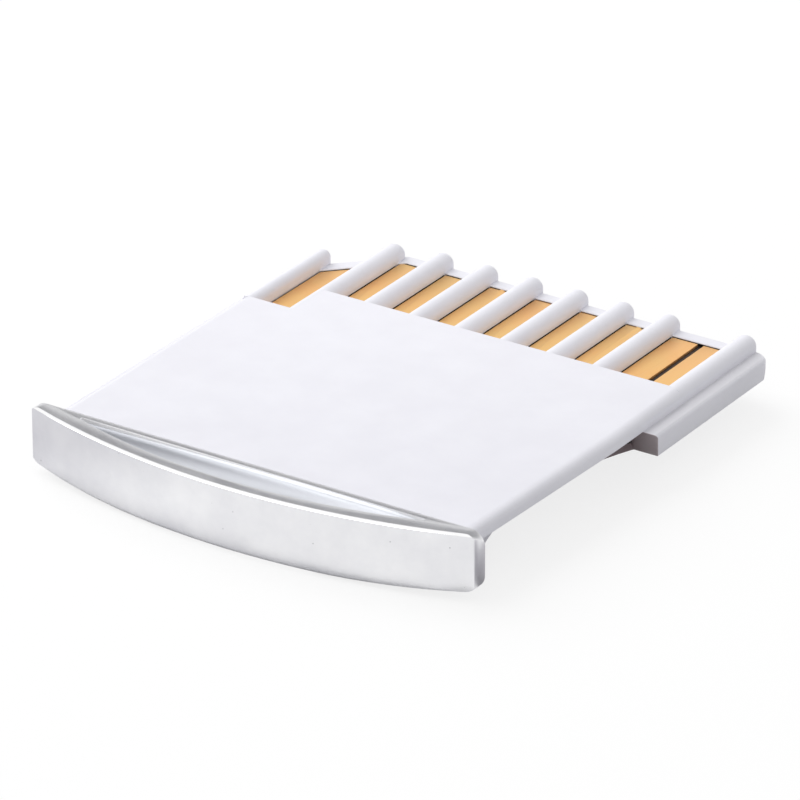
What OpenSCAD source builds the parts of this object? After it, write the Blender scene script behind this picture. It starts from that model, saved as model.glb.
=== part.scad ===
// Short memory card adapter: a full-size card shell that stops at a metal end cap,
// with a side pocket for a small card. The contact side is up.

/* [Card shell] */
// Width of the shell over its side ledges
shell_w = 24; // [22:0.5:28]
// Length of the shell from the contact end to the cap
shell_l = 23.9; // [23.5:0.1:28]
// Thickness of the shell
shell_t = 2.1; // [2:0.1:2.4]
// Height of the ledge along each side
ledge_t = 1.4; // [1.3:0.05:1.5]
// Width of the ledge
ledge_w = 0.75; // [0.5:0.05:1]
// Size of the slanted corner
corner_cut = 4; // [3:0.1:4.4]
// Rounding of the raised part's long edges
edge_r = 0.5; // [0.2:0.05:0.55]
// Rounding along the top of the ledge
ledge_r = 0.15; // [0.1:0.05:0.4]
// How far the base's sides draw in towards its underside
side_draft = 0.35; // [0.1:0.05:0.4]
// Plan radius of the corner beside the last rib
corner_r = 1.1; // [0.4:0.1:1.2]
// How far the open side edge draws in towards the cap
edge_draw = 0.4; // [0:0.05:0.6]
// Distance from the side block to where that begins
draw_start = 3; // [1:0.5:6]

/* [Contact windows] */
// Spacing of the contacts
pitch = 2.5; // [2.4:0.02:2.55]
// Width of a rib between two windows
rib_w = 1.08; // [0.8:0.02:1.2]
// Width of the rib beside the slanted corner
corner_rib_w = 0.75; // [0.6:0.05:0.8]
// Middle of the first of the seven inner ribs, left of the shell's middle
first_rib = 8.38; // [8.2:0.02:8.6]
// Distance from the contact end to the near end of the windows
window_near = 6.94; // [6.4:0.02:7.2]
// Distance from the contact end to the far end of the windows
window_far = 1.13; // [0.9:0.01:1.3]
// How much further back the corner window starts
corner_back = 2.46; // [2:0.02:2.6]
// Height of the bar that joins the ribs' noses
bar_t = 1.45; // [1.42:0.01:1.6]
// Height of the base's step in front of that bar
step_t = 1.15; // [1:0.05:1.3]
// How far the bar stands back from the noses
bar_back = 0.45; // [0.2:0.05:0.6]

/* [Small card pocket] */
// Length of the small card
card_l = 15; // [13:0.1:15.4]
// Width of the small card
card_w = 11; // [10:0.1:11.2]
// Thickness of the small card at its body
card_t = 0.7; // [0.6:0.05:0.75]
// Side clearance of the small card, over both sides
card_gap = 0.2; // [0.1:0.05:0.3]
// Middle of the pocket, from the contact end
pocket_mid = 16.4; // [16.3:0.05:17]
// How far the small card stays inside the shell's raised edge
card_in = 0.25; // [0:0.05:0.5]
// Thickness of the floor under the small card
floor_t = 0.4; // [0.3:0.05:0.45]
// Length of the side block beside the contacts, at its underside
block_l = 9.79; // [9.5:0.05:10]
// How far the block's end leans out towards its top
block_lean = 0.7; // [0.2:0.05:0.9]
// Radius of the finger notch in the base
notch_r = 16.5; // [15:0.5:20]
// Depth of the finger notch from the raised edge
notch_d = 2.25; // [1.8:0.05:2.6]

/* [Walls of the base] */
// Wall beside the carrier on the closed side, from the ledge's outer face
side_wall = 1.4; // [1.2:0.05:1.6]
// Wall at the contact end
end_wall = 0.75; // [0.6:0.05:0.8]
// Wall in the block beside the carrier
block_wall = 1.6; // [1.5:0.05:1.7]
// Wall between the pocket and the carrier's strip
guide_wall = 0.6; // [0.4:0.05:0.7]
// Clearance between the carrier and the walls
seat_gap = 0.05; // [0.02:0.01:0.08]

/* [Terminals] */
// Thickness of the gold sheet
sheet_t = 0.15; // [0.1:0.01:0.2]
// Gap between a pad and the side of its window
pad_gap = 0.07; // [0.05:0.01:0.2]
// How far a pad runs on under the shell
pad_tuck = 0.2; // [0.1:0.05:0.25]
// Width of the narrow last pad in its window
last_pad_w = 1.25; // [1:0.05:1.35]
// Gap between the two pads of the wide window
twin_gap = 0.32; // [0.2:0.02:0.5]
// Width of a trace
trace_w = 0.24; // [0.18:0.02:0.28]
// Spacing of the traces
trace_pitch = 0.4; // [0.38:0.01:0.42]
// Width of a spring arm
arm_w = 0.6; // [0.4:0.05:0.8]
// Spacing of the spring arms, that of the small card's pads
arm_pitch = 1.1; // [1:0.02:1.12]
// Distance from the small card's leading edge to the middle of its pads
pad_reach = 1.9; // [1.6:0.1:2.4]
// How far a free spring arm reaches into the small card's space
arm_press = 0.1; // [0.05:0.01:0.15]
// Free length of a spring arm before its contact point
arm_free = 2.9; // [2.6:0.1:3.1]
// Length of the bend at a spring arm's contact point
arm_bend = 0.2; // [0.1:0.05:0.4]

/* [End cap] */
// Width of the cap
cap_w = 24.15; // [22.5:0.05:25]
// Shift of the cap towards the slanted corner's side
cap_shift = 0.675; // [0:0.025:0.7]
// Height of the cap at its ends
cap_h = 2.8; // [2.6:0.05:3.2]
// How much lower the underside hangs at the middle
cap_sag = 0.45; // [0.1:0.05:0.6]
// Thickness of the cap at its ends
cap_end = 0.42; // [0.4:0.02:0.8]
// Extra thickness at the middle of the bow
cap_bow = 2.1; // [1.8:0.1:3]
// Slant of the cap's ends in plan
end_slant = 0.35; // [0.1:0.05:0.5]
// Rounding of the cap's corners, seen from the front
end_r = 0.7; // [0.2:0.05:0.8]
// Polished chamfer along the top front edge
lip_c = 0.1; // [0.05:0.01:0.25]
// Rounding along the bottom front edge
foot_r = 0.45; // [0.3:0.05:0.7]
// Wall of the cap in front of the shell's tongue
cap_wall = 0.7; // [0.6:0.05:1]
// Half width of the shell's tongue
tongue_half = 9; // [7:0.1:9.5]
// Height of the tongue's underside
tongue_z = 0.3; // [0.25:0.05:0.5]

/* [Nail groove] */
// Depth of the groove at its straight back wall
groove_d = 0.2; // [0.15:0.01:0.3]
// Rim between the groove and the shell
groove_rim = 0.32; // [0.15:0.01:0.35]
// Width of the groove at its middle
groove_w = 1.6; // [1.3:0.05:1.8]
// Half length of the groove
groove_half = 9.2; // [8:0.1:9.8]
// Length by which the groove's square ends cut off each tip
groove_tip = 0.5; // [0.2:0.1:0.8]
// Shift of the groove towards the slanted corner's side
groove_shift = 0.7; // [0.4:0.05:1]
// Slope of the groove's floor, in degrees
groove_tilt = 5; // [0:0.5:7]

/* [Hidden] */
$fn = 32;
eps = 0.05;
over = 1;

shell_white = [0.93, 0.93, 0.96];
carrier_black = [0.09, 0.09, 0.1];
contact_gold = [0.86, 0.62, 0.3];
cap_silver = [0.78, 0.79, 0.81];

half_w = shell_w / 2;
raised_half = half_w - ledge_w;

// Ribs from the slanted corner's side: a narrow edge rib, seven inner ribs, an edge rib
inner_ribs = 7;
rib_x = concat([-raised_half + corner_rib_w / 2],
               [for (i = [0 : inner_ribs - 1]) i * pitch - first_rib],
               [raised_half - rib_w / 2]);
ribs = len(rib_x);
corner_near = window_near + corner_back;
last_window = rib_x[ribs - 1] - rib_w / 2;

// Pocket of the small card
pocket_w = card_w + card_gap;
pocket_front = -pocket_mid + pocket_w / 2;
pocket_back = -pocket_mid - pocket_w / 2;
stop_x = raised_half - card_in - card_l;
card_top = floor_t + card_t;
notch_x = raised_half - notch_d + notch_r;

// The open side draws in from a little way past the block
draw_from = block_l + draw_start;

// Carrier under the contacts
bed_z = ledge_t - sheet_t;
bed_left = -half_w + side_wall;
bed_right = half_w - block_wall;
bed_back = pocket_front + guide_wall;

// Bow of the cap, and the sag of its underside
cap_mid = -cap_shift;
cap_top = shell_t;
cap_foot = cap_top - cap_h;
cap_base = cap_foot - cap_sag;
bow_r = arc_r(cap_w / 2, cap_bow);
cap_front = -shell_l - cap_end - cap_bow;
bow_y = cap_front + bow_r;
sag_half = cap_w / 2 - end_r;
sag_r = arc_r(sag_half, cap_sag);
foot_step = 15;
groove_r = arc_r(groove_half + groove_tip, groove_w);
groove_y = -shell_l - groove_rim;

// Spring arms reach from their roots over the stop to the small card's pads
touch_x = stop_x + pad_reach;
root_x = touch_x - arm_free;
arms = 8;
arm_tip = 0.6;
bend_rise = 0.02;
touch_z = card_top - arm_press;

// Middle of the whole adapter's footprint
box_left = min(-half_w, cap_mid - cap_w / 2);
box_right = max(half_w, cap_mid + cap_w / 2);

// Radius of an arc from half its chord and its height
function arc_r(half, height) = (half * half + height * height) / (2 * height);

// Puts the middle of the adapter's base at the origin
module placed() {
    translate([-(box_left + box_right) / 2, -cap_front / 2, -min(0, cap_base)]) children();
}

// Distance from the contact end to the slanted corner's edge at a given x
function slant_y(x, inset = 0) = x + half_w - corner_cut - inset * sqrt(2);

// Place of the block's end at a given height
function block_y(z) = -block_l - block_lean * z / ledge_t;

function rib_half(i) = (i == 0 ? corner_rib_w : rib_w) / 2;

// Outline of the shell, drawn in by inset at the contact end and at the slant
function shell_plan(half, inset, back) = [
    [-half, -back],
    [-half, slant_y(-half, inset)],
    [-inset - slant_y(0, inset), -inset],
    [half, -inset],
    [half, -back]];

// Cuts a round along an edge that runs along +Y, with the solid at -X and -Z
module round_cut(length, r) {
    difference() {
        translate([-r, -eps, -r]) cube([r + over, length + 2 * eps, r + over]);
        translate([-r, -over, -r]) rotate([-90, 0, 0]) cylinder(h = length + 2 * over, r = r);
    }
}

// Cuts the draft of a side along +Y, with the solid at -X
module draft_cut(length) {
    top = ledge_t - ledge_r;
    per_mm = side_draft / top;
    translate([0, length, 0]) rotate([90, 0, 0]) linear_extrude(height = length)
        polygon([[0, top], [-side_draft - over * per_mm, -over], [over, -over], [over, top]]);
}

// A rib with a round top and a ball nose. It stands on the base, its nose on the step.
module rib(x, near, far, width) {
    r = width / 2;
    round_z = shell_t - r;
    nose_y = -far - r;
    difference() {
        union() {
            translate([x, -near, round_z]) rotate([-90, 0, 0]) cylinder(h = near + nose_y, r = r);
            translate([x - r, -near, ledge_t]) cube([width, near + nose_y, round_z - ledge_t]);
            translate([x, nose_y, step_t]) cylinder(h = round_z - step_t, r = r);
            translate([x, nose_y, round_z]) sphere(r = r);
        }
        linear_extrude(height = ledge_t) polygon(shell_plan(half_w, bar_back, shell_l));
        linear_extrude(height = step_t) polygon(shell_plan(half_w, -over, shell_l));
    }
}

module raised_plate() {
    turn = atan(edge_draw / (shell_l - draw_from));
    difference() {
        translate([0, 0, ledge_t]) linear_extrude(height = shell_t - ledge_t)
            polygon([[-raised_half, -shell_l], [-raised_half, -corner_near],
                     [rib_x[1], -corner_near], [rib_x[1], -window_near],
                     [raised_half, -window_near], [raised_half, -draw_from],
                     [raised_half - edge_draw, -shell_l]]);
        // Rounded long edges
        translate([raised_half, -draw_from, shell_t]) round_cut(draw_from - window_near, edge_r);
        translate([raised_half, -draw_from, shell_t])
            rotate([0, 0, -turn]) mirror([0, 1, 0]) round_cut(shell_l - draw_from + over, edge_r);
        translate([-raised_half, -shell_l, shell_t]) mirror([1, 0, 0]) round_cut(shell_l, edge_r);
    }
}

// The low bar that joins the ribs along the contact end and the slanted corner
module nose_bar() {
    translate([0, 0, ledge_t]) linear_extrude(height = bar_t - ledge_t) difference() {
        polygon(shell_plan(raised_half, bar_back, window_near));
        polygon(shell_plan(raised_half + over, window_far, window_near + over));
    }
}

module upper_shell() placed() color(shell_white) {
    raised_plate();
    nose_bar();
    for (i = [0 : ribs - 1])
        rib(rib_x[i], i < 2 ? corner_near : window_near, max(0, -slant_y(rib_x[i])), 2 * rib_half(i));
}

module lower_cover() placed() color(shell_white) {
    difference() {
        linear_extrude(height = ledge_t) difference() {
            polygon(shell_plan(half_w, 0, shell_l));
            // Rounded corner beside the last rib
            translate([half_w - corner_r, -corner_r]) difference() {
                square(corner_r + over);
                circle(r = corner_r);
            }
        }
        // Step in front of the bar
        translate([0, 0, step_t]) linear_extrude(height = ledge_t) difference() {
            polygon(shell_plan(half_w + over, -over, shell_l));
            polygon(shell_plan(half_w + 2 * over, bar_back, shell_l + over));
        }
        // Bed of the carrier
        translate([0, 0, floor_t]) linear_extrude(height = ledge_t) intersection() {
            polygon(shell_plan(half_w, end_wall, shell_l));
            translate([bed_left, bed_back]) square([bed_right - bed_left, -bed_back]);
        }
        translate([bed_left, pocket_back, floor_t])
            cube([stop_x - bed_left, bed_back - pocket_back + eps, ledge_t]);
        // Pocket of the small card, open at the side
        translate([stop_x - eps, pocket_back, floor_t])
            cube([half_w - stop_x + over, pocket_w, ledge_t]);
        // Finger notch, with the block's leaning end
        intersection() {
            translate([notch_x, -pocket_mid, -over])
                cylinder(h = ledge_t + 2 * over, r = notch_r, $fn = 240);
            rotate([90, 0, 90]) linear_extrude(height = half_w + over)
                polygon([[-shell_l - over, -over], [block_y(-over), -over],
                         [block_y(ledge_t + over), ledge_t + over], [-shell_l - over, ledge_t + over]]);
        }
        // Long edges
        translate([half_w, -shell_l, ledge_t]) round_cut(shell_l, ledge_r);
        translate([-half_w, -shell_l, ledge_t]) mirror([1, 0, 0]) round_cut(shell_l, ledge_r);
        translate([half_w, -shell_l - over, 0]) draft_cut(shell_l + 2 * over);
        translate([-half_w, -shell_l - over, 0]) mirror([1, 0, 0]) draft_cut(shell_l + 2 * over);
    }
    tongue(0);
}

// The shell's tongue in the cap, or the cap's socket for it
module tongue(gap) {
    translate([0, 0, tongue_z - gap]) linear_extrude(height = ledge_t - tongue_z + 2 * gap)
        intersection() {
            translate([cap_mid, bow_y]) circle(r = bow_r - cap_wall + gap, $fn = 360);
            translate([cap_mid - tongue_half - gap, cap_front])
                square([2 * (tongue_half + gap), -shell_l - cap_front]);
        }
}

module terminal_carrier() placed() color(carrier_black) {
    difference() {
        union() {
            translate([0, 0, floor_t]) linear_extrude(height = bed_z - floor_t) intersection() {
                polygon(shell_plan(half_w, end_wall + seat_gap, shell_l));
                translate([bed_left + seat_gap, bed_back + seat_gap])
                    square([bed_right - bed_left - 2 * seat_gap, -bed_back]);
            }
            translate([bed_left + seat_gap, pocket_back + seat_gap, floor_t])
                cube([stop_x - bed_left - seat_gap, bed_back - pocket_back + eps, bed_z - floor_t]);
        }
        // Room for the spring arms to bend, down to the small card's stop
        translate([root_x, pocket_back, touch_z - arm_press])
            cube([stop_x - root_x + over, pocket_w, ledge_t]);
    }
}

// Sheet strip from one corner to the other, at the height of the pads
module strip(a, b) {
    low = [min(a[0], b[0]), min(a[1], b[1])];
    high = [max(a[0], b[0]), max(a[1], b[1])];
    translate([low[0] - trace_w / 2, low[1] - trace_w / 2, bed_z])
        cube([high[0] - low[0] + trace_w, high[1] - low[1] + trace_w, sheet_t]);
}

// Pad in the window between ribs i and i + 1
module pad(left, right) {
    translate([left, -window_near - pad_tuck, bed_z])
        cube([right - left, window_near + pad_tuck - window_far - pad_gap, sheet_t]);
}

function pad_left(i) = rib_x[i] + rib_half(i) + pad_gap;
function pad_right(i) = rib_x[i + 1] - rib_half(i + 1) + pad_tuck;

// Trace from a pad back, across to its column, down to its arm, and the arm.
// The first lane belongs to the slanted corner, the last one to the narrow pad.
function lane_y(lane) = -window_near - pad_tuck - trace_w - (lane - 1) * trace_pitch;
function lane_x(lane) = root_x - trace_w - (arms - 1 - lane) * trace_pitch;
function arm_y(lane) = -pocket_mid + (lane - (arms - 1) / 2) * arm_pitch;

module trace(lane, x) {
    strip([x, -window_near - pad_tuck + eps], [x, lane_y(lane)]);
    strip([x, lane_y(lane)], [lane_x(lane), lane_y(lane)]);
    strip([lane_x(lane), lane_y(lane)], [lane_x(lane), arm_y(lane)]);
}

// Spring arm, with a short bend before the point that touches the small card's pad
module arm(lane) {
    start = lane_x(lane) - trace_w / 2;
    bend = [touch_x - arm_bend, touch_z + bend_rise];
    translate([0, arm_y(lane) + arm_w / 2, 0]) rotate([90, 0, 0]) linear_extrude(height = arm_w)
        polygon([[start, bed_z], [root_x, bed_z], bend, [touch_x, touch_z],
                 [touch_x + arm_tip, touch_z + sheet_t], [touch_x + arm_tip, touch_z + 2 * sheet_t],
                 [touch_x, touch_z + sheet_t], bend + [0, sheet_t], [root_x, ledge_t], [start, ledge_t]]);
}

// Terminal of a plain window
module plain_terminal(lane, i) placed() color(contact_gold) {
    pad(pad_left(i), pad_right(i));
    trace(lane, rib_x[i] + pitch / 2);
    arm(lane);
}

module terminal_9() placed() color(contact_gold) {
    back = -corner_near - pad_tuck;
    left = pad_left(0);
    right = pad_right(0);
    lane = lane_x(0);
    translate([0, 0, bed_z]) linear_extrude(height = sheet_t)
        polygon([[left, back], [left, slant_y(left, window_far + pad_gap)],
                 [right, slant_y(right, window_far + pad_gap)], [right, back]]);
    strip([right - trace_w / 2, back + eps], [right - trace_w / 2, arm_y(0)]);
    strip([right - trace_w / 2, arm_y(0)], [lane, arm_y(0)]);
    arm(0);
}

module terminal_1() plain_terminal(1, 1);
module terminal_2() plain_terminal(2, 2);
module terminal_4() plain_terminal(3, 4);
module terminal_5() plain_terminal(4, 5);

// Two ground pads joined by a strip under the bar at the contact end
module ground_terminal() {
    first = 3;
    second = 6;
    strip_y = -end_wall - seat_gap - trace_w / 2;
    placed() color(contact_gold) {
        pad(pad_left(first), pad_right(first));
        for (i = [first, second])
            strip([rib_x[i] + pitch / 2, strip_y], [rib_x[i] + pitch / 2, -window_far - pad_gap - eps]);
        strip([rib_x[first] + pitch / 2, strip_y], [rib_x[second] + pitch / 2, strip_y]);
    }
    plain_terminal(5, second);
}

module terminal_7() placed() color(contact_gold) {
    left = pad_left(ribs - 2);
    right = last_window - last_pad_w - twin_gap;
    pad(left, right);
    trace(6, (left + right) / 2);
    arm(6);
}

module terminal_8() placed() color(contact_gold) {
    right = last_window + pad_tuck;
    left = last_window - last_pad_w;
    pad(left, right);
    trace(7, (left + right) / 2);
    arm(7);
}

// Plan of the cap: a bowed front, a flat back and slanted ends
module cap_plan() {
    intersection() {
        translate([cap_mid, bow_y]) circle(r = bow_r, $fn = 360);
        translate([cap_mid, -shell_l])
            polygon([[-cap_w / 2, 0], [cap_w / 2, 0], [cap_w / 2 - end_slant, -cap_end - end_slant],
                     [cap_w / 2 - end_slant, -cap_w], [end_slant - cap_w / 2, -cap_w],
                     [end_slant - cap_w / 2, -cap_end - end_slant]]);
    }
}

// Front view of the cap: rounded corners over a sagging underside
module cap_face() {
    for (side = [-1, 1], z = [cap_foot + end_r, cap_top - end_r])
        translate([cap_mid + side * sag_half, z]) circle(r = end_r);
    translate([cap_mid - sag_half, cap_foot]) square([2 * sag_half, cap_h]);
    translate([cap_mid - cap_w / 2, cap_foot + end_r]) square([cap_w, cap_h - 2 * end_r]);
    intersection() {
        translate([cap_mid, cap_base + sag_r]) circle(r = sag_r, $fn = 360);
        translate([cap_mid - sag_half, cap_base]) square([2 * sag_half, cap_sag]);
    }
}

// Bowed bar, with its top edge chamfered and its bottom edge rounded in steps
module bow_bar() {
    reach = asin(cap_w / 2 / bow_r) + 2;
    inner = bow_r - cap_bow - cap_end - 2 * over;
    height = cap_top - cap_base;
    foot = [for (turn = [0 : foot_step : 90])
        [bow_r - foot_r * (1 - sin(turn)), foot_r * (1 - cos(turn))]];
    translate([cap_mid, bow_y, cap_base]) rotate([0, 0, 270 - reach])
        rotate_extrude(angle = 2 * reach, $fn = 360)
            polygon(concat([[inner, 0]], foot,
                           [[bow_r, height - lip_c], [bow_r - lip_c, height], [inner, height]]));
}

module end_cap() placed() color(cap_silver) {
    difference() {
        intersection() {
            bow_bar();
            translate([0, 0, cap_base - over]) linear_extrude(height = cap_h + cap_sag + 2 * over)
                cap_plan();
            translate([0, over - shell_l, 0]) rotate([90, 0, 0])
                linear_extrude(height = cap_end + cap_bow + 2 * over) cap_face();
        }
        tongue(seat_gap);
        // Nail groove: a segment with a straight back wall and a rising floor
        translate([-groove_shift, groove_y, cap_top - groove_d])
            rotate([-groove_tilt, 0, 0]) linear_extrude(height = groove_d + over) intersection() {
                translate([0, groove_r - groove_w]) circle(r = groove_r, $fn = 360);
                translate([-groove_half, -groove_w - over]) square([2 * groove_half, groove_w + over]);
            }
    }
}

upper_shell();
lower_cover();
terminal_carrier();
terminal_9();
terminal_1();
terminal_2();
terminal_4();
terminal_5();
ground_terminal();
terminal_7();
terminal_8();
end_cap();
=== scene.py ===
import math

import bmesh
import bpy
from mathutils import Matrix, Vector


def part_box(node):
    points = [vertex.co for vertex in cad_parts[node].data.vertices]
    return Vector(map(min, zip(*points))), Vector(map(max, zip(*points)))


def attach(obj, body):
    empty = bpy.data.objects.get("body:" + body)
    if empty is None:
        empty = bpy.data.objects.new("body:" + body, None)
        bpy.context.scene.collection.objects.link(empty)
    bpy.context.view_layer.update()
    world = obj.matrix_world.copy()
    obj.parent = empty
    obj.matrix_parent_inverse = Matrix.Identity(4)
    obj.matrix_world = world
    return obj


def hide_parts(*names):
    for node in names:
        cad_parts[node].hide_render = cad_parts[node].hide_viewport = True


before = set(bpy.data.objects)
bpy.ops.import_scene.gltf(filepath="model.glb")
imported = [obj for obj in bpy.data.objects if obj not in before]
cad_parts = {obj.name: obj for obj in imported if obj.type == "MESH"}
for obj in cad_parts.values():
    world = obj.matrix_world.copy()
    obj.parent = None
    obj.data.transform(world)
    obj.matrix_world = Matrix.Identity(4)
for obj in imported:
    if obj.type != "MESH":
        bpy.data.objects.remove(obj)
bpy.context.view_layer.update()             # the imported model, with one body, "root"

scene = bpy.context.scene
mm = 0.001

# Sizes below are in mm: x from the card shell's middle, y from its contact end, z from its underside
coverLow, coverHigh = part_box("lower_cover")
coverHalf = (coverHigh.x - coverLow.x) / 2 / mm
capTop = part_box("end_cap")[1].z
datum = Vector(((coverLow.x + coverHigh.x) / 2, coverHigh.y, coverLow.z))


def place(x, y, z):
    return datum + Vector((x, y, z)) * mm


def addPiece(name, mesh, nodes, finishes):
    # A finished piece that stands for CAD nodes and rides on the body
    piece = bpy.data.objects.new(name, mesh)
    scene.collection.objects.link(piece)
    for i, finish in enumerate(finishes):
        if i < len(mesh.materials):
            mesh.materials[i] = finish
        else:
            mesh.materials.append(finish)
    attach(piece, "root")
    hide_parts(*nodes)
    return piece


# A shader socket that can be used in a Python expression
class Signal:
    def __init__(self, recipe, socket):
        self.recipe = recipe
        self.socket = socket

    def maths(self, operation, first, second):
        return self.recipe.node("ShaderNodeMath", {"operation": operation}, {0: first, 1: second})

    def __add__(self, other):
        return self.maths("ADD", self, other)

    def __sub__(self, other):
        return self.maths("SUBTRACT", self, other)

    def __rsub__(self, other):
        return self.maths("SUBTRACT", other, self)

    def __mul__(self, other):
        return self.maths("MULTIPLY", self, other)

    __radd__ = __add__
    __rmul__ = __mul__


# The nodes of one material, or of the world
class Recipe:
    def __init__(self, owner):
        owner.use_nodes = True
        self.owner = owner
        self.tree = owner.node_tree

    def node(self, kind, settings=None, inputs=None, output=0):
        made = self.tree.nodes.new(kind)
        for key, value in (settings or {}).items():
            setattr(made, key, value)
        for key, value in (inputs or {}).items():
            self.feed(made.inputs[key], value)
        return Signal(self, made.outputs[output])

    def feed(self, socket, value):
        if isinstance(value, Signal):
            self.tree.links.new(value.socket, socket)
        else:
            socket.default_value = value

    def finish(self, **sockets):
        surface = self.tree.nodes["Principled BSDF"]
        for name, value in sockets.items():
            self.feed(surface.inputs[name.replace("_", " ")], value)
        return self.owner

    def grain(self, position, scale, detail=2.0, roughness=0.5):
        return self.node("ShaderNodeTexNoise", {}, {"Vector": position, "Scale": scale, "Detail": detail,
                                                    "Roughness": roughness})

    def objectPlace(self, stretch=(1, 1, 1)):
        spot = self.node("ShaderNodeTexCoord", output="Object")
        return self.node("ShaderNodeMapping", {}, {"Vector": spot, "Scale": stretch})

    def blend(self, share, first, second):
        return self.node("ShaderNodeMix", {"data_type": "RGBA"}, {0: share, 6: first, 7: second}, output=2)

    def between(self, value, fromLow, fromHigh, toLow=0.0, toHigh=1.0):
        return self.node("ShaderNodeMapRange", {"clamp": True}, {0: value, 1: fromLow, 2: fromHigh,
                                                               3: toLow, 4: toHigh})

    def bump(self, height, distance, strength=1.0):
        return self.node("ShaderNodeBump", {}, {"Height": height, "Distance": distance, "Strength": strength})

    def seen(self):
        # 1 for the rays of the camera, of mirrors and of clear things
        kinds = [self.node("ShaderNodeLightPath", output=name)
                 for name in ("Is Camera Ray", "Is Glossy Ray", "Is Transmission Ray")]
        return kinds[0] + kinds[1] + kinds[2]


def newRecipe(name):
    return Recipe(bpy.data.materials.new(name))


# Scales of grain are per metre, and depths are in metres
noiseSpan = (0.3, 0.7)                    # most of a noise lies between these
layeredSpan = (0.35, 0.65)                # the same for noises of more layers
whiteLook = {
    "light": (0.86, 0.858, 0.915, 1),     # moulded white with a cold cast
    "dim": (0.83, 0.826, 0.885, 1),
    "ledge": (0.7, 0.695, 0.735, 1),      # painted shade on the ledge, which lies in the raised face's shade
    "ledgeShadeFrom": (11.2, 1.36),            # x and z where that painted shade sets in
    "ledgeShadeTo": (11.3, 1.395),
    "mottle": 420,                        # flow marks
    "mottleSpan": (0.35, 0.68),           # dim turns to light between these
    "mottleShare": 0.6,                   # of the roughness and of the bump
    "spark": 9000,                        # spark-eroded grain
    "grainDepth": 0.000004,
    "roughness": (0.42, 0.56),
}


def shellWhite(name, ledge=False):
    r = newRecipe(name)
    spot = r.objectPlace()
    mottle = r.grain(spot, whiteLook["mottle"], 4, 0.6)
    spark = r.grain(spot, whiteLook["spark"], 2)
    shade = r.blend(r.between(mottle, *whiteLook["mottleSpan"]), whiteLook["dim"], whiteLook["light"])
    # Painted shade: the ledge top is darkened where the raised face shades it
    if ledge:
        across, height = (r.node("ShaderNodeSeparateXYZ", {}, {0: spot}, output=i) for i in (0, 2))
        start, end = (place(whiteLook[key][0], 0, whiteLook[key][1]) for key in ("ledgeShadeFrom", "ledgeShadeTo"))
        share = r.between(across, start.x, end.x) * r.between(height, start.z, end.z)
        shade = r.blend(share, shade, whiteLook["ledge"])
    part = whiteLook["mottleShare"]
    worn = mottle * part + spark * (1 - part)
    return r.finish(Base_Color=shade, Roughness=r.between(worn, *noiseSpan, *whiteLook["roughness"]),
                    Normal=r.bump(spark + mottle * part, whiteLook["grainDepth"]))


notchShadeLook = {
    "deep": (0.15, 0.105, 0.112, 1),      # painted shade: dark brown inside the grip notch, where shade falls
    "edge": (0.52, 0.455, 0.47, 1),
    "from": 10.6,                         # x where the deep shade ends
    "to": 12.1,                           # and where the edge shade is reached
    "cloud": 1500,
    "cloudShare": 0.2,                    # of the shade; x gives the rest
    "roughness": (0.5, 0.65),
}


# Painted shade for the grip notch's end: darkest deep in, lighter towards the open side
def paintedNotchShade():
    r = newRecipe("shell_notch_painted_shade")
    spot = r.objectPlace()
    across = r.node("ShaderNodeSeparateXYZ", {}, {0: spot})
    share = r.between(across, place(notchShadeLook["from"], 0, 0).x, place(notchShadeLook["to"], 0, 0).x)
    cloud = r.grain(spot, notchShadeLook["cloud"], 3)
    part = notchShadeLook["cloudShare"]
    shade = r.blend(share * (1 - part) + cloud * part, notchShadeLook["deep"], notchShadeLook["edge"])
    return r.finish(Base_Color=shade, Roughness=r.between(cloud, *noiseSpan, *notchShadeLook["roughness"]),
                    Normal=r.bump(cloud, whiteLook["grainDepth"]))


blackLook = {
    "shades": ((0.022, 0.014, 0.012, 1), (0.045, 0.03, 0.026, 1)),
    "grain": 5200,
    "flow": 700,
    "grainDepth": 0.000006,
    "roughness": (0.5, 0.72),
}


def carrierBlack():
    r = newRecipe("carrier_black")
    spot = r.objectPlace()
    grain = r.grain(spot, blackLook["grain"], 3)
    flow = r.grain(spot, blackLook["flow"], 2)
    return r.finish(Base_Color=r.blend(flow, *blackLook["shades"]),
                    Roughness=r.between(grain, *noiseSpan, *blackLook["roughness"]),
                    Normal=r.bump(grain, blackLook["grainDepth"]))


goldLook = {
    "orange": (0.93, 0.535, 0.21, 1),
    "yellow": (0.89, 0.58, 0.235, 1),
    "patches": 190,
    "patchSpan": (0.38, 0.62),
    "wipe": (9000, 260, 9000),            # wiping lines along the card's travel
    "wipeDepth": 0.0000012,
    "metal": 0.8,
    "roughness": (0.4, 0.52),
}


def contactGold():
    r = newRecipe("contact_gold")
    spot = r.objectPlace()
    patches = r.grain(spot, goldLook["patches"], 3, 0.6)
    wipes = r.grain(r.objectPlace(goldLook["wipe"]), 1.0, 3, 0.6)
    shade = r.blend(r.between(patches, *goldLook["patchSpan"]), goldLook["orange"], goldLook["yellow"])
    worn = patches * 0.5 + wipes * 0.5
    return r.finish(Base_Color=shade, Metallic=goldLook["metal"],
                    Roughness=r.between(worn, *layeredSpan, *goldLook["roughness"]),
                    Normal=r.bump(wipes, goldLook["wipeDepth"]))


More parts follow.
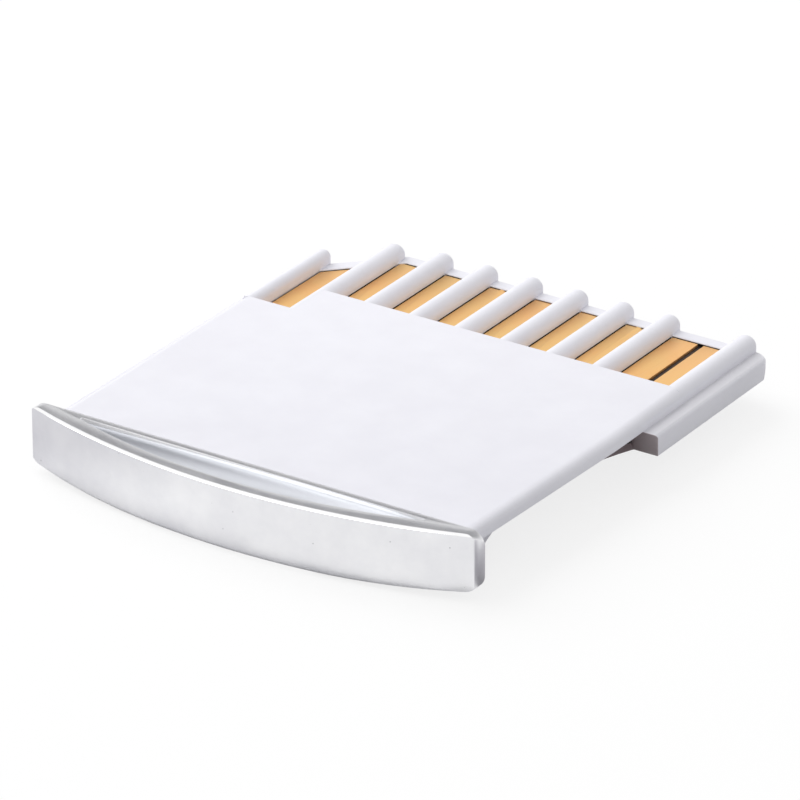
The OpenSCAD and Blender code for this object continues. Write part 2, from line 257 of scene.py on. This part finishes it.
capLook = {
    "bright": (0.88, 0.88, 0.895, 1),
    "dull": (0.80, 0.80, 0.825, 1),
    "pit": (0.45, 0.45, 0.47, 1),
    "beads": 7000,                        # blasted grain
    "beadDepth": 0.000003,
    "clouds": 330,
    "pits": 1500.0,
    "pitSize": (0.1, 0.125),              # a pit's heart and its rim, in cells
    "pitRagged": 0.16,                    # how much the clouds change a pit's size
    "pitDepth": 0.6,                      # of the depth of the beads
    "roughness": (0.3, 0.4),
    "lip": ((0.96, 0.96, 0.965, 1), (0.99, 0.99, 0.99, 1)),
    "lipRoughness": (0.08, 0.14),
    "cut": ((0.66, 0.68, 0.73, 1), (0.76, 0.78, 0.83, 1)),
    "cutRoughness": (0.34, 0.42),
    "cutLines": (200, 4000, 4000),        # the cutter's fine lines along the cap
}


def capBlasted():
    r = newRecipe("satin_aluminium")
    spot = r.objectPlace()
    clouds = r.grain(spot, capLook["clouds"], 4, 0.62)
    beads = r.grain(spot, capLook["beads"], 2)
    cells = r.node("ShaderNodeTexVoronoi", {}, {"Vector": spot, "Scale": capLook["pits"]})
    specks = r.between(cells + clouds * capLook["pitRagged"], *capLook["pitSize"], 1, 0)
    metal = r.blend(r.between(clouds, *layeredSpan), capLook["dull"], capLook["bright"])
    worn = clouds * 0.5 + beads * 0.5
    return r.finish(Base_Color=r.blend(specks, metal, capLook["pit"]), Metallic=1.0,
                    Roughness=r.between(worn, *layeredSpan, *capLook["roughness"]),
                    Normal=r.bump(beads - specks * capLook["pitDepth"], capLook["beadDepth"]))


def capCut(name, shades, roughness):
    r = newRecipe(name)
    lines = r.grain(r.objectPlace(capLook["cutLines"]), 1.0, 2)
    return r.finish(Base_Color=r.blend(lines, *shades), Metallic=1.0,
                    Roughness=r.between(lines, *noiseSpan, *roughness))


white = shellWhite("shell_white")
shadedLedgeWhite = shellWhite("shell_ledge_painted_shade", ledge=True)
notchShadeFinish = paintedNotchShade()
black = carrierBlack()
gold = contactGold()
blasted = capBlasted()
polished = capCut("polished_lip", capLook["lip"], capLook["lipRoughness"])
milled = capCut("milled_groove", capLook["cut"], capLook["cutRoughness"])
print("finishes mixed")


def meshOf(form, name):
    mesh = bpy.data.meshes.new(name)
    form.to_mesh(mesh)
    form.free()
    return mesh


def crease(mesh, angle):
    # Smooth shading, with sharp edges past the angle in degrees
    mesh.polygons.foreach_set("use_smooth", [True] * len(mesh.polygons))
    mesh.set_sharp_from_angle(angle=math.radians(angle))


def bake(piece):
    # The evaluated shape as a plain mesh
    bpy.context.view_layer.update()
    graph = bpy.context.evaluated_depsgraph_get()
    return bpy.data.meshes.new_from_object(piece.evaluated_get(graph))


def rounded(name, mesh, **settings):
    # The mesh with a Bevel modifier's result in it
    former = bpy.data.objects.new(name + "_form", mesh)
    scene.collection.objects.link(former)
    bevel = former.modifiers.new("edges", "BEVEL")
    for key, value in settings.items():
        setattr(bevel, key, value)
    result = bake(former)
    bpy.data.objects.remove(former)
    return result


def nodeCopy(node, tolerance=0.000001, flat=0.2):
    # A node's faces, joined up again from its loose triangles
    form = bmesh.new()
    form.from_mesh(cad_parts[node].data)
    bmesh.ops.remove_doubles(form, verts=form.verts, dist=tolerance)
    bmesh.ops.dissolve_limit(form, angle_limit=math.radians(flat), verts=form.verts, edges=form.edges)
    return meshOf(form, node)


def dressed(node, width, steps=2, angle=32):
    # A copy of a CAD node with fine rounded edges
    mesh = rounded(node, nodeCopy(node), width=width * mm, segments=steps, limit_method="ANGLE",
                   angle_limit=math.radians(angle), harden_normals=False, miter_outer="MITER_ARC")
    crease(mesh, 40)
    return mesh


faceShape = {
    "halfWidth": 11.25,
    "length": 23.9,
    "ledge": 1.4,
    "top": 2.1,
    "windowNear": 6.94,
    "cornerBack": 2.46,       # how much nearer the cap the corner window starts
    "cornerX": -8.38,         # middle of the rib that ends the corner window
    "drawFrom": 12.79,        # the open side draws in from here
    "draw": 0.4,
    "longEdge": 0.5,          # rounding of the two long edges
    "capEdge": 0.035,         # rounding of the edge along the cap
    "mouldEdge": 0.07,        # rounding of the other edges
    "windowEdge": 0.02,
    "barTop": 1.45,
    "barBack": 0.45,          # the bar lies between these, from the contact end
    "barNear": 1.13,
    "barEdge": 0.05,
    "cornerCut": 8,           # the slanted corner's line meets y = 0 at this x on the left
}


def slab(name, outline, low, high, widths, uprights):
    # A plate with a width of rounding on each top edge and each upright edge of its outline
    form = bmesh.new()
    bottom = [form.verts.new(place(x, y, low)) for x, y in outline]
    top = [form.verts.new(place(x, y, high)) for x, y in outline]
    form.faces.new(top)
    form.faces.new(list(reversed(bottom)))
    weight = form.edges.layers.float.new("bevel_weight_edge")
    count = len(outline)
    widest = max(widths + uprights)
    for i in range(count):
        j = (i + 1) % count
        form.faces.new((bottom[i], bottom[j], top[j], top[i]))
        form.edges.get((top[i], top[j]))[weight] = widths[i] / widest
        form.edges.get((bottom[i], top[i]))[weight] = uprights[i] / widest
    bmesh.ops.recalc_face_normals(form, faces=form.faces)
    result = rounded(name, meshOf(form, name), width=widest * mm, segments=6, limit_method="WEIGHT",
                     offset_type="OFFSET", use_clamp_overlap=False)
    crease(result, 35)
    return result


def raisedFace():
    f = faceShape
    outline = [(-f["halfWidth"], -f["length"]), (f["halfWidth"] - f["draw"], -f["length"]),
               (f["halfWidth"], -f["drawFrom"]), (f["halfWidth"], -f["windowNear"]),
               (f["cornerX"], -f["windowNear"]), (f["cornerX"], -f["windowNear"] - f["cornerBack"]),
               (-f["halfWidth"], -f["windowNear"] - f["cornerBack"])]
    small = f["mouldEdge"]
    widths = [f["capEdge"], f["longEdge"], f["longEdge"], f["windowEdge"], small, small, f["longEdge"]]
    uprights = [small, small, 0.0, 0.0, small, small, small]
    return slab("raised_face", outline, f["ledge"], f["top"], widths, uprights)


def slantPlan(inset):
    # Three corners of the contact end's line, drawn in by inset
    f = faceShape
    reach = f["cornerCut"] - inset * math.sqrt(2)
    return [(-f["halfWidth"], reach - f["halfWidth"]), (-reach - inset, -inset), (f["halfWidth"], -inset)]


def noseBar():
    f = faceShape
    outline = slantPlan(f["barNear"]) + list(reversed(slantPlan(f["barBack"])))
    edges = [f["barEdge"]] * len(outline)
    return slab("nose_bar", outline, f["ledge"], f["barTop"], edges, edges)


addPiece("raised_face", raisedFace(), ["upper_shell"], [white])
addPiece("nose_bar", noseBar(), ["upper_shell"], [white])
print("raised face and nose bar made")


ribShape = {
    "width": 1.08,
    "cornerWidth": 0.75,      # the rib beside the slanted corner
    "foot": 1.4,              # where a rib stands on the base
    "noseFoot": 1.14,         # where its nose stands, a little into the step of the base
    "places": (-10.872, -8.38, -5.88, -3.38, -0.88, 1.62, 4.12, 6.62, 10.707),
    "near": 6.94,
    "cornerNear": 9.4,
    "sink": 0.3,              # how far a rib runs on into the raised face
    "sideSink": 0.1,          # the same of the ribs at the two sides
    "toe": 0.66,              # how far behind the nose's middle a rib may stand over the step
    "flank": 3.0,             # height of the flanks in radii, before they are cut at the foot
    "join": 0.002,            # points this close become one
    "steps": 10,              # facets over a quarter of the round top
    "turns": 24,              # facets round a nose
}


def archProfile():
    # Half round of one unit radius on long flanks, with its top at the origin
    points = [(-1.0, -ribShape["flank"])]
    for i in range(2 * ribShape["steps"] + 1):
        turn = math.pi * i / (2 * ribShape["steps"])
        points.append((-math.cos(turn), math.sin(turn) - 1.0))
    return points + [(1.0, -ribShape["flank"])]


def ribBody():
    # One unit long, back from the nose
    form = bmesh.new()
    profile = archProfile()
    rows = [[form.verts.new(Vector((x, y, z))) for x, z in profile] for y in (0.0, -1.0)]
    for i in range(len(profile) - 1):
        form.faces.new((rows[0][i], rows[1][i], rows[1][i + 1], rows[0][i + 1]))
    form.faces.new(rows[1])
    bmesh.ops.recalc_face_normals(form, faces=form.faces)
    return meshOf(form, "rib_body")


def ribNose():
    # A quarter ball on a half cylinder, in front of the body
    form = bmesh.new()
    half = archProfile()[ribShape["steps"] + 1:]
    turns = [math.pi * i / ribShape["turns"] for i in range(ribShape["turns"] + 1)]
    columns = [[form.verts.new(Vector((-math.cos(turn) * x, math.sin(turn) * x, z))) for x, z in half]
               for turn in turns]
    for a, b in zip(columns, columns[1:]):
        for i in range(len(half) - 1):
            form.faces.new((a[i], a[i + 1], b[i + 1], b[i]))
    form.faces.new([column[-1] for column in columns])
    bmesh.ops.remove_doubles(form, verts=form.verts, dist=1e-4)
    bmesh.ops.recalc_face_normals(form, faces=form.faces)
    return meshOf(form, "rib_nose")


def ribToe():
    # Two flanks from a body's foot down to the step, one unit long and one to each side
    form = bmesh.new()
    for x in (-1.0, 1.0):
        sides = [(y, z) for y in (0.0, -1.0) for z in (ribShape["foot"], ribShape["noseFoot"])]
        corners = [form.verts.new(Vector((x, y, (z - faceShape["top"]) * mm))) for y, z in sides]
        order = (0, 2, 3, 1) if x > 0 else (0, 1, 3, 2)
        form.faces.new([corners[i] for i in order])
    return meshOf(form, "rib_toe")


# A Geometry Nodes group under construction
class Tree:
    def __init__(self, name, inputs):
        self.group = bpy.data.node_groups.new(name, "GeometryNodeTree")
        face = self.group.interface
        face.new_socket("Geometry", in_out="INPUT", socket_type="NodeSocketGeometry")
        for label, kind in inputs:
            face.new_socket(label, in_out="INPUT", socket_type=kind)
        face.new_socket("Geometry", in_out="OUTPUT", socket_type="NodeSocketGeometry")
        self.given = self.add("NodeGroupInput").outputs

    def add(self, kind, settings=None, inputs=None):
        made = self.group.nodes.new(kind)
        for key, value in (settings or {}).items():
            setattr(made, key, value)
        for key, value in (inputs or {}).items():
            if isinstance(value, bpy.types.NodeSocket):
                self.group.links.new(value, made.inputs[key])
            else:
                made.inputs[key].default_value = value
        return made

    def attribute(self, name):
        return self.add("GeometryNodeInputNamedAttribute", {"data_type": "FLOAT"}, {"Name": name}).outputs[0]

    def standOn(self, geometry, level):
        # Points below the level come up to it
        spot = self.add("GeometryNodeInputPosition").outputs[0]
        parts = self.add("ShaderNodeSeparateXYZ", {}, {0: spot}).outputs
        height = self.add("ShaderNodeMath", {"operation": "MAXIMUM"}, {0: parts[2], 1: level}).outputs[0]
        raised = self.add("ShaderNodeCombineXYZ", {}, {0: parts[0], 1: parts[1], 2: height}).outputs[0]
        return self.add("GeometryNodeSetPosition", {}, {"Geometry": geometry, "Position": raised}).outputs[0]

    def finish(self, geometry):
        # Realised, joined up and painted
        real = self.add("GeometryNodeRealizeInstances", {}, {"Geometry": geometry}).outputs[0]
        merged = self.add("GeometryNodeMergeByDistance", {},
                          {"Geometry": real, "Distance": self.given["Join Distance"]}).outputs[0]
        painted = self.add("GeometryNodeSetMaterial", {},
                           {"Geometry": merged, "Material": self.given["Finish"]})
        self.add("NodeGroupOutput", {}, {"Geometry": painted.outputs[0]})
        return self.group


def ribTree():
    # Each rib is a body, a nose and a toe on its point, in the point's own length and radius
    forms = [(name, "NodeSocketObject") for name in ("Body", "Nose", "Toe")]
    sizes = [(name, "NodeSocketFloat") for name in ("Toe Length", "Toe Foot", "Body Foot", "Nose Foot",
                                                    "Join Distance")]
    tree = Tree("window_ribs", forms + sizes + [("Finish", "NodeSocketMaterial")])
    length, radius = tree.attribute("rib_length"), tree.attribute("rib_radius")
    points = tree.add("GeometryNodeMeshToPoints", {}, {"Mesh": tree.given["Geometry"]}).outputs[0]
    joined = tree.add("GeometryNodeJoinGeometry")
    for name, reach, height in (("Nose", radius, radius), ("Body", length, radius),
                                ("Toe", tree.given["Toe Length"], 1.0)):
        form = tree.add("GeometryNodeObjectInfo", {}, {"Object": tree.given[name]}).outputs["Geometry"]
        size = tree.add("ShaderNodeCombineXYZ", {}, {0: radius, 1: reach, 2: height}).outputs[0]
        placed = tree.add("GeometryNodeInstanceOnPoints", {},
                          {"Points": points, "Instance": form, "Scale": size}).outputs[0]
        real = tree.add("GeometryNodeRealizeInstances", {}, {"Geometry": placed}).outputs[0]
        tree.group.links.new(tree.standOn(real, tree.given[name + " Foot"]), joined.inputs[0])
    return tree.finish(joined.outputs[0])


def grown(name, seeds, group, values):
    # The tree's result on the seeds, as a plain mesh
    former = bpy.data.objects.new(name + "_former", seeds)
    scene.collection.objects.link(former)
    modifier = former.modifiers.new(name, "NODES")
    modifier.node_group = group
    for socket in group.interface.items_tree:
        if socket.item_type == "SOCKET" and socket.in_out == "INPUT" and socket.name in values:
            modifier[socket.identifier] = values[socket.name]
    mesh = bake(former)
    bpy.data.objects.remove(former)
    return mesh


def windowRibs():
    s = ribShape
    spots, lengths, radii = [], [], []
    for i, x in enumerate(s["places"]):
        near = s["cornerNear"] if i < 2 else s["near"]
        radius = (s["cornerWidth"] if i == 0 else s["width"]) / 2
        back = max(0.0, -(x + faceShape["cornerCut"])) + radius
        spots.append(place(x, -back, faceShape["top"]))
        sink = s["sideSink"] if i in (0, len(s["places"]) - 1) else s["sink"]
        lengths.append((near + sink - back) * mm)
        radii.append(radius * mm)
    seeds = bpy.data.meshes.new("rib_places")
    seeds.from_pydata(spots, [], [])
    seeds.attributes.new("rib_length", "FLOAT", "POINT").data.foreach_set("value", lengths)
    seeds.attributes.new("rib_radius", "FLOAT", "POINT").data.foreach_set("value", radii)
    forms = {}
    for name, mesh in (("Body", ribBody()), ("Nose", ribNose()), ("Toe", ribToe())):
        forms[name] = bpy.data.objects.new("rib_" + name.lower() + "_form", mesh)
        scene.collection.objects.link(forms[name])
    mesh = grown("window_ribs", seeds, ribTree(),
                 {**forms, "Body Foot": place(0, 0, s["foot"]).z, "Nose Foot": place(0, 0, s["noseFoot"]).z,
                  "Toe Foot": place(0, 0, s["noseFoot"]).z, "Toe Length": s["toe"] * mm,
                  "Join Distance": s["join"] * mm, "Finish": white})
    for form in forms.values():
        bpy.data.objects.remove(form)
    crease(mesh, 50)
    return mesh


addPiece("window_ribs", windowRibs(), ["upper_shell"], [white])
print("ribs made")

baseShape = {
    "baseEdge": 0.09,
    "carrierEdge": 0.04,
    "terminalEdge": 0.025,
    "stepTop": 1.15,
    "cornerRadius": 1.1,           # the far corner of the open side, worn round at its top
    "wornX": (11.0, 11.2, 11.35, 11.5, 11.62, 11.72, 11.8, 11.87),     # cuts that let it bend
    "wornY": (-1.25, -1.1, -1.0, -0.9, -0.8, -0.7, -0.62, -0.55, -0.49),
    "wornRound": 0.35,             # radius of the round
    "wornFade": 0.6,               # length over which it sets in, along the side
    "wornMost": 0.95,              # share of the height over the step that may go
    "cutSlack": 0.01,              # so that points on a cut count as past it
    "notchLow": (9.3, -13.0),      # the grip notch's end, which gets the painted shade, lies between these places
    "notchHigh": (12.05, -9.6),
    "notchFront": 0.2,             # its faces look more than this to the cap
    "notchSide": 0.97,             # and less than this to the open side
}


def wornCorner(mesh):
    # Points near the far corner sink along a round, the more the further out they are
    s = baseShape
    form = bmesh.new()
    form.from_mesh(mesh)
    cuts = [((x, 0, 0), (1, 0, 0)) for x in s["wornX"]] + [((0, y, 0), (0, 1, 0)) for y in s["wornY"]]
    for spot, normal in cuts:
        bmesh.ops.bisect_plane(form, geom=form.verts[:] + form.edges[:] + form.faces[:], dist=0.0001 * mm,
                               plane_co=place(*spot), plane_no=normal)
    radius, worn = s["cornerRadius"], s["wornRound"]
    for vert in form.verts:
        x, y, z = (vert.co - datum) / mm
        if x > s["wornX"][1] - s["cutSlack"] and y > -radius and z > s["stepTop"]:
            reach = math.hypot(x - coverHalf + radius, y + radius)
            past = min(max(0.0, reach - radius + worn), worn)
            share = min(1.0, (y + radius) / s["wornFade"])
            drop = (worn - math.sqrt(worn ** 2 - past ** 2)) * share
            vert.co.z -= min(drop, (z - s["stepTop"]) * s["wornMost"]) * mm
    form.to_mesh(mesh)
    form.free()
    crease(mesh, 40)


def baseShell():
    s = baseShape
    mesh = dressed("lower_cover", s["baseEdge"], 3)
    wornCorner(mesh)
    low, high = (place(*s[key], 0) for key in ("notchLow", "notchHigh"))
    for face in mesh.polygons:
        spot, normal = face.center, face.normal
        inNotch = low.x < spot.x < high.x and low.y < spot.y < high.y
        # the notch's end faces take the painted notch shade
        if inNotch and -normal.y > s["notchFront"] and normal.x < s["notchSide"]:
            face.material_index = 1
    return mesh


addPiece("base_shell", baseShell(), ["lower_cover"], [shadedLedgeWhite, notchShadeFinish])
addPiece("carrier", dressed("terminal_carrier", baseShape["carrierEdge"]),
         ["terminal_carrier"], [black])
terminals = [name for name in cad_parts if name.startswith("terminal_") and name != "terminal_carrier"]
for name in sorted(terminals) + ["ground_terminal"]:
    addPiece("gold_" + name, dressed(name, baseShape["terminalEdge"]), [name], [gold])
print("base, carrier and terminals dressed")

capShape = {
    "edge": 0.03,
    "lipHeight": 0.12,        # the polished chamfer lies above this, from the top
    "lipTilt": (0.5, 0.88),   # how far up its faces look
    "lipFront": 0.4,          # and how far forward
    "grooveDepth": 0.2,
    "grooveMiddle": -0.7,
    "grooveHalf": 9.3,
    "grooveSlack": (0.03, 0.004),     # how far below its depth and the cap's top its faces count
    "square": 0.9,            # the groove's faces look at least this far forward or up
}


def endCap():
    s = capShape
    mesh = dressed("end_cap", s["edge"], 2, 42)
    below, above = s["grooveSlack"]
    lipLow = capTop - s["lipHeight"] * mm
    grooveLow = capTop - (s["grooveDepth"] + below) * mm
    middle = place(s["grooveMiddle"], 0, 0).x
    tiltLow, tiltHigh = s["lipTilt"]
    for face in mesh.polygons:
        spot, normal = face.center, face.normal
        inGroove = grooveLow < spot.z < capTop - above * mm and abs(spot.x - middle) < s["grooveHalf"] * mm
        onLip = spot.z > lipLow and tiltLow < normal.z < tiltHigh and -normal.y > s["lipFront"]
        if onLip or inGroove and -normal.y > s["square"]:
            face.material_index = 1
        elif inGroove and normal.z > s["square"]:
            face.material_index = 2
    return mesh


addPiece("bowed_cap", endCap(), ["end_cap"], [blasted, polished, milled])
print("cap made")

stageShape = {
    "floorSize": 3.0,                          # in metres
    "floorShade": (0.6, 0.6, 0.61, 1),         # what lights the object from below
    "floorSeen": (0.97, 0.97, 0.97, 1),
    "floorRoughness": 0.9,
    "floorGlow": 0.8,                          # share of plain white in the floor that the camera sees
    "worldLight": 0.62,
    "keyLight": {"power": 2.9, "size": 0.6, "place": (-0.42, 0.1, 0.43)},      # in metres
}

# Painted reflections: cards that only mirrors see, as in a product studio. A card's shade turns to white
# between the two places of its fade, and its glow is the light of a lit card. The grey cards paint darker
# reflections on the cap, the front card's glow is a painted highlight on its polished lip, and the foot
# card is the object's own shade on the floor, painted into the cap's reflection
paintedReflectionCards = {
    # painted reflection: a grey card that darkens the cap's flat top and rim
    "back_card": {"shade": (0.46, 0.46, 0.47, 1),
                  "corners": [(-45, -8, 8.6), (25, -8, 8.6), (25, -8, 31), (-45, -8, 31)]},
    # painted highlight: a glowing card that only the polished lip reflects
    "front_card": {"shade": (1, 1, 1, 1), "glow": 1.4,
                   "corners": [(-110, -72, 26), (5, -72, 26), (5, -54, 46), (-110, -54, 46)]},
    # painted reflection: a grey card on the floor that darkens the cap's end face
    "end_card": {"shade": (0.5, 0.49, 0.52, 1),
                 "corners": [(8, -12, -1.1), (8, -23.9, -1.1), (12.0, -23.9, -1.1), (13.5, -26.5, -1.1),
                             (15, -34, -1.1), (26, -34, -1.1), (26, -12, -1.1)]},
    # painted reflection: a grey card that darkens the cap's front towards its left end
    "left_card": {"shade": (0.68, 0.675, 0.7, 1), "fade": (-16, -7),
                  "corners": [(-60, -60, -1.1), (0, -60, -1.1), (0, -20, -1.1), (-60, -20, -1.1)]},
    # painted reflection of the object's shadow on the floor, seen in the cap's front
    "foot_card": {"shade": (0.8, 0.8, 0.81, 1),
                  "corners": [(-12.4, -20, -1.08), (-12.4, -25.2, -1.08), (-8, -26.3, -1.08),
                              (-4, -26.9, -1.08), (0, -27.05, -1.08), (4, -26.75, -1.08),
                              (8, -25.95, -1.08), (11.4, -24.9, -1.08), (11.4, -20, -1.08)]},
}


def stageFloor():
    size = stageShape["floorSize"] / 2
    mesh = bpy.data.meshes.new("floor")
    corners = [(-size, -size, 0), (size, -size, 0), (size, size, 0), (-size, size, 0)]
    mesh.from_pydata(corners, [], [(0, 1, 2, 3)])
    floor = bpy.data.objects.new("floor", mesh)
    scene.collection.objects.link(floor)
    r = newRecipe("floor_white")
    camera = r.node("ShaderNodeLightPath", output="Is Camera Ray")
    shade = r.blend(camera, stageShape["floorShade"], stageShape["floorSeen"])
    mesh.materials.append(r.finish(Base_Color=shade, Roughness=stageShape["floorRoughness"],
                                   Specular_IOR_Level=0.0))
    lit = Signal(r, r.tree.nodes["Principled BSDF"].outputs[0])
    glow = r.node("ShaderNodeEmission", {}, {"Color": (1, 1, 1, 1), "Strength": 1.0})
    share = r.seen() - camera * (1 - stageShape["floorGlow"])
    surface = r.node("ShaderNodeMixShader", {}, {0: share, 1: lit, 2: glow})
    r.feed(r.tree.nodes["Material Output"].inputs[0], surface)


def stageWorld():
    scene.world = bpy.data.worlds.new("studio")
    r = Recipe(scene.world)
    back = r.tree.nodes["Background"]
    r.feed(back.inputs["Color"], (1, 1, 1, 1))
    r.feed(back.inputs["Strength"], r.between(r.seen(), 0, 1, stageShape["worldLight"], 1.0))


def softLamp(name, values):
    lamp = bpy.data.lights.new(name, "AREA")
    lamp.energy = values["power"]
    lamp.size = values["size"]
    lampObject = bpy.data.objects.new(name, lamp)
    lampObject.location = values["place"]
    lampObject.visible_glossy = False      # mirrors see the white room only
    lampObject.rotation_mode = "QUATERNION"
    lampObject.rotation_quaternion = (-Vector(values["place"])).to_track_quat("-Z", "Y")
    scene.collection.objects.link(lampObject)


# A card that only mirrors see, painting a reflection
def paintedReflectionCard(name, values):
    mesh = bpy.data.meshes.new(name)
    corners = [place(*corner) for corner in values["corners"]]
    mesh.from_pydata(corners, [], [range(len(corners))])
    r = newRecipe(name)
    shade = values["shade"]
    if "fade" in values:
        across = r.node("ShaderNodeSeparateXYZ", {}, {0: r.objectPlace()})
        start, end = (place(x, 0, 0).x for x in values["fade"])
        shade = r.blend(r.between(across, start, end), shade, stageShape["floorSeen"])
    mesh.materials.append(r.finish(Base_Color=shade, Roughness=1.0, Specular_IOR_Level=0.0,
                                   Emission_Color=values["shade"], Emission_Strength=values.get("glow", 0.0)))
    card = bpy.data.objects.new(name, mesh)
    scene.collection.objects.link(card)
    card.visible_camera = card.visible_diffuse = card.visible_shadow = card.visible_transmission = False


cameraPlace = {
    "location": (148.12, -240.05, 132.716),
    "right": (0.8373, 0.5467, 0.0),
    "up": (-0.2389, 0.3658, 0.8995),
    "lens": 297.9,
    "sensor": 36,
    "clip": 0.01,
}


def photoCamera():
    data = bpy.data.cameras.new("camera")
    data.lens = cameraPlace["lens"]
    data.sensor_width = cameraPlace["sensor"]
    data.clip_start = cameraPlace["clip"]
    camera = bpy.data.objects.new("camera", data)
    right, up = Vector(cameraPlace["right"]), Vector(cameraPlace["up"])
    turn = Matrix((right, up, right.cross(up))).transposed().to_4x4()
    camera.matrix_world = Matrix.Translation(place(*cameraPlace["location"])) @ turn
    scene.collection.objects.link(camera)
    scene.camera = camera


stageFloor()
stageWorld()
softLamp("key_light", stageShape["keyLight"])
for name, values in paintedReflectionCards.items():
    paintedReflectionCard(name, values)
photoCamera()
scene.view_settings.view_transform = "Standard"
print("stage set")
